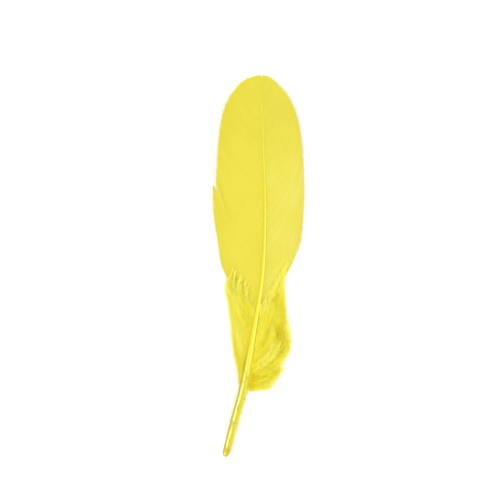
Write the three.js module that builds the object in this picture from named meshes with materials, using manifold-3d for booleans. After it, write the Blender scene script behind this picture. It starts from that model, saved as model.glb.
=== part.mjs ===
// A goose feather, dyed yellow, lying flat with its hollow side up.
// Millimetres. +Z is up, +Y runs to the feather's tip and +X to its right-hand side.
// The origin is on the surface that the feather lies on, under the middle of its box.

import * as THREE from "three";
import { mergeVertices } from "three/addons/utils/BufferGeometryUtils.js";
import Module from "manifold-3d";

// Driving dimensions of the whole feather
const LENGTH = 169.4; // from the quill's end to the tip
const WIDTH = 40.5; // across both vanes, at the widest
const TIP_RISE = 6; // how far the tip curls up off the surface
const QUILL_RISE = 2; // and the quill's end
const FLAT_FROM = -50; // between these two stations the feather lies on the surface
const FLAT_TO = 38;
const FLAT_REACH = 9; // the vanes lie flat this far out from the shaft
const GAP = 0.3; // left between neighbouring pieces

// Shaft
const SHAFT_TOP = 81; // where the rachis has thinned to a hair
const QUILL_WIDTH = 3.8; // the quill at its thickest, where the lowest down grows
const QUILL_TIP_LENGTH = 2.2; // the rounded end
const SHAFT_SIDES = 14;
const SHAFT_STEPS = 46;

// Vanes
const WEB_THICKNESS = 0.6;
const WEB_EDGE_THICKNESS = 0.4;
const LEFT_EDGE_LIFT = 2.2; // how far the outer edge curls up
const RIGHT_EDGE_LIFT = 3.2;
const VANE_FOOT = -19; // station on the shaft where the closed web starts
const VANE_HEAD = 83.3; // station on the centre line where the last barb starts
const VANE_STEPS_OUT = 10;
const VANE_STEPS_UP = 32;

// Split in the left vane, which runs in from its edge along the barbs
const SPLIT_MOUTH = { x: -21.5, y: 42.5, width: 1.7 };
const SPLIT_END = { x: -15.75, y: 25.9 };

// Down
const DOWN_FOOT = -55; // station on the shaft where the lowest down starts
const DOWN_THICKNESS = 4.2;
const DOWN_EDGE_THICKNESS = 1.2;
const DOWN_STEPS_OUT = 10;
const DOWN_STEPS_UP = 12;

// Barbs leave the shaft at a wide angle and sweep round towards the tip
const BARB_BEND_OUT = 0.7; // of the barb's reach, where its control point is
const BARB_BEND_UP = 0.5; // of the barb's rise
const ROOT_CROWDING = 1.25; // over 1: roots stand closer together at the foot

const HALF_LENGTH = LENGTH / 2;
const HALF_WIDTH = WIDTH / 2;

// The shaft's centre line as [station, x]: it bows to the right and the quill leans left
const CENTRE_LINE = [
  [-HALF_LENGTH, -14.9],
  [-68.4, -10.6],
  [-52.8, -6.4],
  [-28.3, -1.9],
  [-3.9, 1.8],
  [25.9, 3.05],
  [51.3, 2.3],
  [HALF_LENGTH, 1.3],
];

// The shaft's width as [station, width]
const SHAFT_WIDTH = [
  [-HALF_LENGTH, 2.9],
  [-77.3, 3.5],
  [-54, QUILL_WIDTH],
  [-37.2, 3.1],
  [-15, 2.2],
  [16.6, 1.7],
  [51.3, 1.15],
  [SHAFT_TOP, 0.4],
];

// Outer edges as [x, y], from the foot up to the tip
const LEFT_VANE_EDGE = [
  [-16.5, 0.6],
  [-18.2, 11.5],
  [-HALF_WIDTH, 28],
  [-18.9, 43],
  [-17.3, 61],
  [-14.6, 72.2],
  [-9.2, 80.2],
  [-4, 83.7],
  [0.9, HALF_LENGTH],
];
const RIGHT_VANE_EDGE = [
  [18.6, 12.3],
  [20, 23],
  [HALF_WIDTH, 36],
  [19.4, 55],
  [16.3, 69.5],
  [11.6, 78],
  [5.4, 83.6],
  [1.8, HALF_LENGTH],
];
const LEFT_DOWN_EDGE = [
  [-10.4, -45],
  [-12.2, -32],
  [-14, -18],
  [-16, -2.4],
];
const RIGHT_DOWN_EDGE = [
  [5.5, -54.5],
  [11, -44],
  [13.4, -33],
  [12.8, -20],
  [12.4, -4],
];

// A smooth value between the [station, value] knots
function smooth(knots, station) {
  const last = knots.length - 1;
  const found = knots.findIndex(([at]) => at > station);
  const i = found < 0 ? last - 1 : Math.max(found - 1, 0);
  const slope = (k) => {
    const [low, high] = [knots[Math.max(k - 1, 0)], knots[Math.min(k + 1, last)]];
    return (high[1] - low[1]) / (high[0] - low[0]);
  };
  const step = knots[i + 1][0] - knots[i][0];
  const t = (station - knots[i][0]) / step;
  const held = (1 + 2 * t) * (1 - t) ** 2 * knots[i][1] + t * t * (3 - 2 * t) * knots[i + 1][1];
  return held + step * (t * (1 - t) ** 2 * slope(i) - t * t * (1 - t) * slope(i + 1));
}

// How far the underside is off the surface at a station of the centre line
function rise(station) {
  const up = Math.max(0, station - FLAT_TO) / (HALF_LENGTH - FLAT_TO);
  const down = Math.max(0, FLAT_FROM - station) / (HALF_LENGTH + FLAT_FROM);
  return TIP_RISE * up ** 2 + QUILL_RISE * down ** 2;
}

// The underside's height over any spot of a vane: the outer edge curls up
function underside(x, y, lift) {
  const out = Math.abs(x - smooth(CENTRE_LINE, y));
  const curl = Math.max(0, out - FLAT_REACH) / (HALF_WIDTH - FLAT_REACH);
  return rise(y) + lift * curl ** 2;
}

// The place on the shaft's side where a barb has its root. side is -1 for left, 1 for right
function barbRoot(station, side) {
  const width = station < SHAFT_TOP ? smooth(SHAFT_WIDTH, station) : 0;
  const x = smooth(CENTRE_LINE, station) + side * (width / 2 + GAP);
  return new THREE.Vector2(x, station);
}

// One barb, from its root on the shaft to its tip on the outer edge
function barb(root, tip) {
  const bend = new THREE.Vector2(
    root.x + BARB_BEND_OUT * (tip.x - root.x),
    root.y + BARB_BEND_UP * (tip.y - root.y),
  );
  return new THREE.QuadraticBezierCurve(root, bend, tip);
}

// A sheet whose rows are barbs: shape holds its edge, its first and last root and its heights
function sheet(side, shape) {
  const edge = new THREE.SplineCurve(shape.edge.map(([x, y]) => new THREE.Vector2(x, y)));
  const box = new THREE.BoxGeometry(1, 1, 1, shape.stepsOut, shape.stepsUp, 1);
  const geometry = pointsOnly(box);
  const place = geometry.attributes.position;
  for (let i = 0; i < place.count; i++) {
    const out = 0.5 + side * place.getX(i);
    const up = 0.5 + place.getY(i);
    const station = THREE.MathUtils.lerp(shape.foot, shape.head, up ** shape.crowding);
    const spot = barb(barbRoot(station, side), edge.getPointAt(up)).getPoint(out);
    const low = underside(spot.x, spot.y, shape.lift);
    const thickness = THREE.MathUtils.lerp(shape.thickness, shape.edgeThickness, out);
    place.setXYZ(i, spot.x, spot.y, low + (place.getZ(i) > 0 ? thickness : 0));
  }
  return geometry;
}

// The geometry with one vertex for each place and nothing but places
function pointsOnly(geometry) {
  geometry.deleteAttribute("normal");
  geometry.deleteAttribute("uv");
  return mergeVertices(geometry);
}

// The quill and the rachis in one, round in section and as deep as it is wide
function shaftGeometry() {
  const geometry = pointsOnly(new THREE.CylinderGeometry(1, 1, 1, SHAFT_SIDES, SHAFT_STEPS));
  const place = geometry.attributes.position;
  const easing = 1.3; // steps are closer together at the quill's rounded end
  const endRadius = 0.45; // of the full radius, at the very end
  for (let i = 0; i < place.count; i++) {
    const along = (0.5 + place.getY(i)) ** easing;
    const station = THREE.MathUtils.lerp(-HALF_LENGTH, SHAFT_TOP, along);
    const short = Math.max(0, 1 - (station + HALF_LENGTH) / QUILL_TIP_LENGTH);
    const radius = (smooth(SHAFT_WIDTH, station) / 2) * (1 - (1 - endRadius) * short ** 2);
    const lean = Math.atan(smooth(CENTRE_LINE, station + 0.5) - smooth(CENTRE_LINE, station - 0.5));
    const across = radius * place.getX(i);
    const x = smooth(CENTRE_LINE, station) + across * Math.cos(lean);
    const y = station - across * Math.sin(lean);
    const middle = rise(station) + smooth(SHAFT_WIDTH, station) / 2;
    place.setXYZ(i, x, Math.max(y, -HALF_LENGTH), middle + radius * place.getZ(i));
  }
  return geometry;
}

const wasm = await Module();
wasm.setup();

// A closed geometry as a solid that can be cut
function solid(geometry) {
  const vertProperties = new Float32Array(geometry.attributes.position.array);
  const triVerts = new Uint32Array(geometry.index.array);
  return new wasm.Manifold(new wasm.Mesh({ numProp: 3, vertProperties, triVerts }));
}

// A solid as a geometry
function geometryOf(body) {
  const mesh = body.getMesh();
  const geometry = new THREE.BufferGeometry();
  geometry.setAttribute("position", new THREE.BufferAttribute(mesh.vertProperties, mesh.numProp));
  geometry.setIndex(new THREE.BufferAttribute(mesh.triVerts, 1));
  return geometry;
}

// The wedge that opens the split, from its mouth outside the edge to its end in the web
function splitWedge() {
  const height = 20;
  const outline = new THREE.Shape([
    new THREE.Vector2(SPLIT_END.x, SPLIT_END.y),
    new THREE.Vector2(SPLIT_MOUTH.x + SPLIT_MOUTH.width / 2, SPLIT_MOUTH.y),
    new THREE.Vector2(SPLIT_MOUTH.x - SPLIT_MOUTH.width / 2, SPLIT_MOUTH.y),
  ]);
  const wedge = new THREE.ExtrudeGeometry(outline, { depth: height, bevelEnabled: false });
  wedge.translate(0, 0, -height / 2);
  return pointsOnly(wedge);
}

const leftVane = solid(
  sheet(-1, {
    edge: LEFT_VANE_EDGE,
    foot: VANE_FOOT,
    head: VANE_HEAD,
    crowding: ROOT_CROWDING,
    lift: LEFT_EDGE_LIFT,
    thickness: WEB_THICKNESS,
    edgeThickness: WEB_EDGE_THICKNESS,
    stepsOut: VANE_STEPS_OUT,
    stepsUp: VANE_STEPS_UP,
  }),
).subtract(solid(splitWedge()));

const rightVane = sheet(1, {
  edge: RIGHT_VANE_EDGE,
  foot: VANE_FOOT,
  head: VANE_HEAD,
  crowding: ROOT_CROWDING,
  lift: RIGHT_EDGE_LIFT,
  thickness: WEB_THICKNESS,
  edgeThickness: WEB_EDGE_THICKNESS,
  stepsOut: VANE_STEPS_OUT,
  stepsUp: VANE_STEPS_UP,
});

// A pad of down, which ends just short of the closed web above it
function downGeometry(side, edge, lift) {
  const clearance = 2.5 * GAP; // up the shaft, which leaves the gap square to the slanting barbs
  return sheet(side, {
    edge,
    foot: DOWN_FOOT,
    head: VANE_FOOT - clearance,
    crowding: 1,
    lift,
    thickness: DOWN_THICKNESS,
    edgeThickness: DOWN_EDGE_THICKNESS,
    stepsOut: DOWN_STEPS_OUT,
    stepsUp: DOWN_STEPS_UP,
  });
}

const horn = new THREE.MeshStandardMaterial({ color: 0xf3e45c, roughness: 0.3, metalness: 0 });
const web = new THREE.MeshStandardMaterial({ color: 0xf2e74f, roughness: 0.75, metalness: 0 });
const fluff = new THREE.MeshStandardMaterial({ color: 0xefe245, roughness: 0.95, metalness: 0 });

const feather = new THREE.Group();

// Adds one named piece to the feather
function add(name, geometry, material) {
  const mesh = new THREE.Mesh(geometry, material);
  mesh.name = name;
  feather.add(mesh);
}

add("shaft", shaftGeometry(), horn);
add("vane_left", geometryOf(leftVane), web);
add("vane_right", rightVane, web);
add("down_left", downGeometry(-1, LEFT_DOWN_EDGE, 0), fluff);
add("down_right", downGeometry(1, RIGHT_DOWN_EDGE, 0), fluff);

export default feather;
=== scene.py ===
"""A dyed goose feather lying flat, hollow side up, and the soft light it is seen in.

Sizes are in millimetres until a mesh is written, which is in metres.
+Y runs to the feather's tip, +X to its right-hand side and +Z up from the surface.
"""

import logging
import math
from collections.abc import Callable
from dataclasses import dataclass
from enum import Enum
from functools import partial

import bmesh
import bpy
import numpy as np
from bpy.types import ID, Material, Mesh, Node, NodeSocket, Object
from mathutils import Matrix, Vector
from numpy.random import Generator


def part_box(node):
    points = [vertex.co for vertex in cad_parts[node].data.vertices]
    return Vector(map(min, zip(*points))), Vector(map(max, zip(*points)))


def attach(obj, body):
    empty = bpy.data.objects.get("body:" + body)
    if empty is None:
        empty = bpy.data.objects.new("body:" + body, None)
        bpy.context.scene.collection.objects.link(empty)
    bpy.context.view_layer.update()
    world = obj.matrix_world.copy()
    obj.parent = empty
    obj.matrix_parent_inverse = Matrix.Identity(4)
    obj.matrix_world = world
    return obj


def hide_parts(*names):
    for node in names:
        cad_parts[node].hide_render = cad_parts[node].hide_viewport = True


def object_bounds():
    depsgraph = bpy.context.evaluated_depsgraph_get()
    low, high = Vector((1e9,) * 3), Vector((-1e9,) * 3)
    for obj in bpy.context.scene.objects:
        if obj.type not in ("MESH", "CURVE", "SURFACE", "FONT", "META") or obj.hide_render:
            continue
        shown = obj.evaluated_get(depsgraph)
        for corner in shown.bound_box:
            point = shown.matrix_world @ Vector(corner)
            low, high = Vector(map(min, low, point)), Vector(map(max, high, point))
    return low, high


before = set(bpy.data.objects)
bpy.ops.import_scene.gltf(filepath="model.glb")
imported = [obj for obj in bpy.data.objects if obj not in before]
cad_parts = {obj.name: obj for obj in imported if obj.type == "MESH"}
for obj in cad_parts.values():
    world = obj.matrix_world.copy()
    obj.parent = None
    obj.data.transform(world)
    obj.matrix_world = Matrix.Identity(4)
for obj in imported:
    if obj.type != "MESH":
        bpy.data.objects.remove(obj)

CAD_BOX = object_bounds()
LOG = logging.getLogger("feather")
Array = np.ndarray

MM = 0.001
BODY = "root"
SEED = 20
UP = np.array([0.0, 0.0, 1.0])
KERATIN_IOR = 1.54

# Driving sizes, which the frame gives
HALF_WIDTH = CAD_BOX[1][0] / MM
HALF_LENGTH = CAD_BOX[1][1] / MM
SHAFT_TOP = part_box("shaft")[1][1] / MM
VANE_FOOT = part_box("vane_left")[0][1] / MM
DOWN_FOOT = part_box("down_left")[0][1] / MM


class Side(Enum):
    """A side of the shaft, seen from above with the tip up. Its value is the sign of X."""

    LEFT = -1
    RIGHT = 1


class Layer(Enum):
    """Where downy barbs lie: tucked under the web, over its foot, or astray round the edge."""

    UNDER = "under"
    OVER = "over"
    STRAY = "stray"


def blend(low: float | Array, high: float | Array, share: float | Array) -> Array:
    """A value between low, at share 0, and high, at share 1."""
    return low + (high - low) * share


def ease(share: Array) -> Array:
    """Share held between 0 and 1, with a soft start and a soft end."""
    held = np.clip(share, 0.0, 1.0)
    return held * held * (3.0 - 2.0 * held)


def unit(vectors: Array) -> Array:
    """Vectors along the last axis, each made one long."""
    return vectors / np.maximum(np.linalg.norm(vectors, axis=-1, keepdims=True), 1e-9)


def ripple(places: Array, rng: Generator, waves: int = 5) -> Array:
    """Smooth noise of about one period for each unit of places.

    Args:
        places: Where the noise is read.
        rng: Source of the waves' phases and lengths.
        waves: How many sine waves are added up.

    Returns:
        Values of about -1 to 1, in the shape of places.
    """
    total = np.zeros_like(places, dtype=float)
    for _ in range(waves):
        total += np.sin(2.0 * np.pi * (places * rng.uniform(0.45, 1.6) + rng.random()))
    return total / math.sqrt(waves)


@dataclass(frozen=True)
class Profile:
    """A value that changes smoothly along the feather.

    Attributes:
        knots: Pairs of a station along Y and the value there.
    """

    knots: tuple[tuple[float, float], ...]

    def at(self, station: float | Array) -> Array:
        """The value at a station, or at each of several.

        Args:
            station: Where along Y it is wanted.

        Returns:
            One value for each station.
        """
        places, values = np.array(self.knots).T
        slopes = np.gradient(values, places)
        slopes[1:-1] = (values[2:] - values[:-2]) / (places[2:] - places[:-2])
        span = np.clip(np.searchsorted(places, station, side="right") - 1, 0, len(places) - 2)
        step = places[span + 1] - places[span]
        t = (station - places[span]) / step
        held = (1 + 2 * t) * (1 - t) ** 2 * values[span] + t * t * (3 - 2 * t) * values[span + 1]
        return held + step * (t * (1 - t) ** 2 * slopes[span] - t * t * (1 - t) * slopes[span + 1])


@dataclass(frozen=True)
class Outline:
    """A smooth open line through a few points in plan, from the foot up to the tip.

    Attributes:
        corners: The points, as pairs of x and y.
        span_points: How many points the curve between two corners is drawn with.
    """

    corners: tuple[tuple[float, float], ...]
    span_points: int = 40

    def at(self, fraction: Array) -> Array:
        """Points at these fractions of the line's length.

        Args:
            fraction: From 0 at the foot to 1 at the tip.

        Returns:
            One x and y for each fraction.
        """
        ends = np.array((self.corners[0], *self.corners, self.corners[-1]))
        t = np.linspace(0.0, 1.0, self.span_points, endpoint=False)[:, None]
        spans = [
            0.5 * (2 * b + (c - a) * t + (2 * a - 5 * b + 4 * c - d) * t**2 + (3 * b - a - 3 * c + d) * t**3)
            for a, b, c, d in zip(ends, ends[1:], ends[2:], ends[3:])
        ]
        line = np.vstack([*spans, ends[-1:]])
        length = np.concatenate([[0.0], np.cumsum(np.linalg.norm(np.diff(line, axis=0), axis=1))])
        wanted = fraction * length[-1]
        return np.stack([np.interp(wanted, length, line[:, axis]) for axis in (0, 1)], axis=-1)


@dataclass(frozen=True)
class FeatherForm:
    """The shape that all the pieces share: the shaft's line and how the feather curls off the surface.

    Attributes:
        tip_rise: How far the feather's tip is off the surface.
        quill_rise: How far the quill's end is.
        flat_from: Station below which the quill rises.
        flat_to: Station above which the vanes rise.
        flat_reach: Distance from the shaft's middle past which a vane curls up.
        centre: The shaft's middle, as x by station.
        width: The shaft's width, by station.
    """

    tip_rise: float = 6.0
    quill_rise: float = 2.0
    flat_from: float = -50.0
    flat_to: float = 38.0
    flat_reach: float = 9.0
    centre: Profile = Profile(
        (
            *((-HALF_LENGTH, -14.9), (-68.4, -10.6), (-52.8, -6.4), (-28.3, -1.9)),
            *((-3.9, 1.8), (25.9, 3.05), (51.3, 2.3), (HALF_LENGTH, 1.3)),
        )
    )
    width: Profile = Profile(
        (
            *((-HALF_LENGTH, 2.9), (-77.3, 3.5), (-54.0, 3.8), (-37.2, 3.1)),
            *((-15.0, 2.2), (16.6, 1.7), (51.3, 1.15), (SHAFT_TOP, 0.4)),
        )
    )

    def shaft_width(self, station: Array) -> Array:
        """The shaft's width, which is 0 past its end."""
        return np.where(station < SHAFT_TOP, self.width.at(np.minimum(station, SHAFT_TOP)), 0.0)

    def rise(self, station: Array) -> Array:
        """How far the shaft's underside is off the surface.

        Args:
            station: Stations along Y.

        Returns:
            One height for each.
        """
        up = np.maximum(0.0, station - self.flat_to) / (HALF_LENGTH - self.flat_to)
        down = np.maximum(0.0, self.flat_from - station) / (HALF_LENGTH + self.flat_from)
        return self.tip_rise * up**2 + self.quill_rise * down**2

    def underside(self, x: Array, y: Array, lift: float) -> Array:
        """The height of a vane's underside.

        Args:
            x: Where it is wanted, in X.
            y: The same in Y.
            lift: How far the vane's outer edge curls up.

        Returns:
            One height for each spot.
        """
        out = np.abs(x - self.centre.at(y))
        curl = np.maximum(0.0, out - self.flat_reach) / (HALF_WIDTH - self.flat_reach)
        return self.rise(y) + lift * curl**2

    def root(self, station: Array, side: Side, sunk: float) -> Array:
        """Places in plan where barbs grow from the shaft.

        Args:
            station: Stations along the shaft.
            side: The side of the shaft.
            sunk: How far in from the shaft's surface the barbs start.

        Returns:
            One x and y for each station.
        """
        half = np.maximum(self.shaft_width(station) / 2.0 - sunk, 0.0)
        return np.stack([self.centre.at(station) + side.value * half, station], axis=-1)


def ringed_drum(sides: int, rings: int) -> bmesh.types.BMesh:
    """An upright drum, one in radius and one high, cut into rings.

    Args:
        sides: Corners of a cross-section.
        rings: Cross-sections, with both ends.

    Returns:
        The drum, which whoever asks for it frees.
    """
    bm = bmesh.new()
    bmesh.ops.create_cone(
        bm, cap_ends=True, cap_tris=False, segments=sides, radius1=1.0, radius2=1.0, depth=1.0
    )
    uprights = [edge for edge in bm.edges if abs(edge.verts[0].co.z - edge.verts[1].co.z) > 0.5]
    if rings > 2:
        bmesh.ops.subdivide_edges(bm, edges=uprights, cuts=rings - 2)
    return bm


def write_trait(mesh: Mesh, trait: str, values: Array) -> None:
    """Stores one value for each of a mesh's vertices, which its finish reads by name."""
    mesh.attributes.new(trait, "FLOAT", "POINT").data.foreach_set("value", values.astype(np.float32))


def add_object(name: str, data: ID) -> Object:
    """Adds an object to the scene.

    Args:
        name: Its name.
        data: The mesh, lamp or camera that it shows.

    Returns:
        The object.
    """
    added = bpy.data.objects.new(name, data)
    bpy.context.scene.collection.objects.link(added)
    return added


@dataclass(frozen=True)
class StrandShape:
    """A short strand that is repeated many times: closed, with a few sides and rings.

    Attributes:
        rings: Cross-sections from the root to the tip.
        sides: Corners of a cross-section.
        pointed: True if the last ring is one point.
    """

    rings: int
    sides: int
    pointed: bool

    def template(self) -> tuple[Array, Array, Array]:
        """The strand once, upright.

        Returns:
            The ring that each vertex is on, its corner in the unit section, and the triangles.
        """
        bm = ringed_drum(self.sides, self.rings)
        if self.pointed:
            top = [vert for vert in bm.verts if vert.co.z > 0.499]
            bmesh.ops.pointmerge(bm, verts=top, merge_co=(0.0, 0.0, 0.5))
        bmesh.ops.recalc_face_normals(bm, faces=bm.faces)
        bmesh.ops.triangulate(bm, faces=bm.faces)
        bm.verts.index_update()
        places = np.array([vert.co[:] for vert in bm.verts])
        triangles = np.array([[vert.index for vert in face.verts] for face in bm.faces])
        bm.free()
        ring = np.rint((places[:, 2] + 0.5) * (self.rings - 1)).astype(int)
        return ring, places[:, :2], triangles


@dataclass
class Bundle:
    """Many strands as one mesh, in millimetres.

    Attributes:
        vertices: One row of x, y, z for each vertex.
        triangles: Three vertex numbers a row.
        paleness: How pale each vertex is, from 0 to 1: how little dye it took, and in places painted light
            and shade.
    """

    vertices: Array
    triangles: Array
    paleness: Array

    @staticmethod
    def joined(parts: "list[Bundle]") -> "Bundle":
        """Several bundles as one.

        Args:
            parts: The bundles.

        Returns:
            All their strands.
        """
        starts = np.cumsum([0] + [len(part.vertices) for part in parts[:-1]])
        return Bundle(
            np.vstack([part.vertices for part in parts]),
            np.vstack([part.triangles + start for part, start in zip(parts, starts)]),
            np.concatenate([part.paleness for part in parts]),
        )

    def piece(self, name: str) -> Object:
        """Makes the bundle an object.

        Args:
            name: The object's name.

        Returns:
            The object, in metres.
        """
        mesh = bpy.data.meshes.new(name)
        mesh.from_pydata((self.vertices * MM).tolist(), [], self.triangles.tolist())
        write_trait(mesh, "paleness", self.paleness)
        mesh.shade_flat()
        return add_object(name, mesh)


def lay_strands(
    shape: StrandShape,
    spines: Array,
    across: Array,
    up: Array,
    half_width: Array,
    half_height: Array,
    paleness: Array,
) -> Bundle:
    """Repeats a strand along many spines.

    Args:
        shape: The strand.
        spines: Centre of each ring, as (strands, rings, 3).
        across: Sideways direction at each ring, the same shape.
        up: Upward direction at each ring, the same shape.
        half_width: Half the strand's width at each ring, as (strands, rings).
        half_height: Half its height, the same shape.
        paleness: How pale it is at each ring, the same shape: its dye, and in places painted light and
            shade.

    Returns:
        The strands.
    """
    ring, corner, triangles = shape.template()
    sideways = corner[:, 0, None] * half_width[:, ring, None] * across[:, ring]
    upwards = corner[:, 1, None] * half_height[:, ring, None] * up[:, ring]
    vertices = spines[:, ring] + sideways + upwards
    starts = np.arange(len(spines))[:, None, None] * len(ring)
    return Bundle(
        vertices.reshape(-1, 3),
        (triangles[None] + starts).reshape(-1, 3),
        np.clip(paleness[:, ring], 0.0, 1.0).reshape(-1),
    )


def linear(code: str) -> tuple[float, float, float, float]:
    """An sRGB colour such as "#f2e761" as linear red, green, blue and alpha."""
    parts = [int(code[i : i + 2], 16) / 255.0 for i in (1, 3, 5)]
    return (*[p / 12.92 if p <= 0.04045 else ((p + 0.055) / 1.055) ** 2.4 for p in parts], 1.0)


def add_node(
    material: Material,
    kind: str,
    settings: dict[str | int, object] | None = None,
    links: dict[str | int, NodeSocket] | None = None,
) -> Node:
    """Adds a shader node with its settings and links.

    Args:
        material: The material it goes in.
        kind: The node's type name, without the ShaderNode that each begins with.
        settings: Values by name or number: of the node's own settings, or else of its inputs.
            The name stops gives a colour ramp's places, each with an sRGB colour.
        links: Sockets to join to its inputs, by the input's name or number.

    Returns:
        The new node.
    """
    tree = material.node_tree
    node = tree.nodes.new(f"ShaderNode{kind}")
    for name, value in (settings or {}).items():
        if name == "stops":
            elements = node.color_ramp.elements
            while len(elements) < len(value):
                elements.new(0.5)
            for element, (place, code) in zip(elements, value):
                element.position = place
                element.color = linear(code)
        elif hasattr(node, str(name)):
            setattr(node, name, value)
        else:
            node.inputs[name].default_value = value
    for name, socket in (links or {}).items():
        tree.links.new(socket, node.inputs[name])
    return node


def new_material(name: str, settings: dict[str, object]) -> tuple[Material, Node]:
    """A node material with only its Principled shader, already joined to the output.

    Args:
        name: The material's name.
        settings: Values of the shader's inputs that are the same all over.

    Returns:
        The material and the shader.
    """
    material = bpy.data.materials.new(name)
    material.use_nodes = True
    material.node_tree.nodes.clear()
    shader = add_node(material, "BsdfPrincipled", settings)
    add_node(material, "OutputMaterial", links={"Surface": shader.outputs["BSDF"]})
    return material, shader


@dataclass(frozen=True)
class BarbKeratin:
    """Dyed feather keratin in fine barbs: matt and a little silky, with painted light and shade read from
    the paleness trait.

    Attributes:
        name: The finish's name.
        deep: Colour where the dye took best, also reached by painted shade.
        body: Usual colour.
        pale: Colour where it took least, also reached by painted highlights.
        roughness: How matt it is.
        shine: How strongly it mirrors, where 0.5 is a smooth solid surface.
        dye_patch_mm: Size of the uneven patches that the dye leaves.
        unevenness: How much the paleness differs between those patches.
    """

    name: str
    deep: str
    body: str
    pale: str
    roughness: float
    shine: float
    dye_patch_mm: float
    unevenness: float = 0.5

    def material(self) -> Material:
        """Builds the finish.

        Returns:
            Its node material.
        """
        surface = {"Roughness": self.roughness, "IOR": KERATIN_IOR, "Specular IOR Level": self.shine}
        material, shader = new_material(self.name, surface)
        add = partial(add_node, material)
        # The paleness trait holds the dye together with painted light and shade.
        paleness = add("Attribute", {"attribute_name": "paleness"})
        place = add("TexCoord")
        grain = {"Scale": 1.0 / (self.dye_patch_mm * MM), "Detail": 2.0, "Roughness": 0.5}
        patches = add("TexNoise", grain, {"Vector": place.outputs["Object"]})
        centred = {"operation": "MULTIPLY_ADD", 1: self.unevenness, 2: -self.unevenness / 2.0}
        uneven = add("Math", centred, {0: patches.outputs["Fac"]})
        taken = add("Math", {"operation": "ADD"}, {0: paleness.outputs["Fac"], 1: uneven.outputs[0]})
        dyes = {"stops": [(0.1, self.deep), (0.5, self.body), (0.9, self.pale)]}
        colour = add("ValToRGB", dyes, {"Fac": taken.outputs[0]})
        material.node_tree.links.new(colour.outputs["Color"], shader.inputs["Base Color"])
        return material


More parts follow.
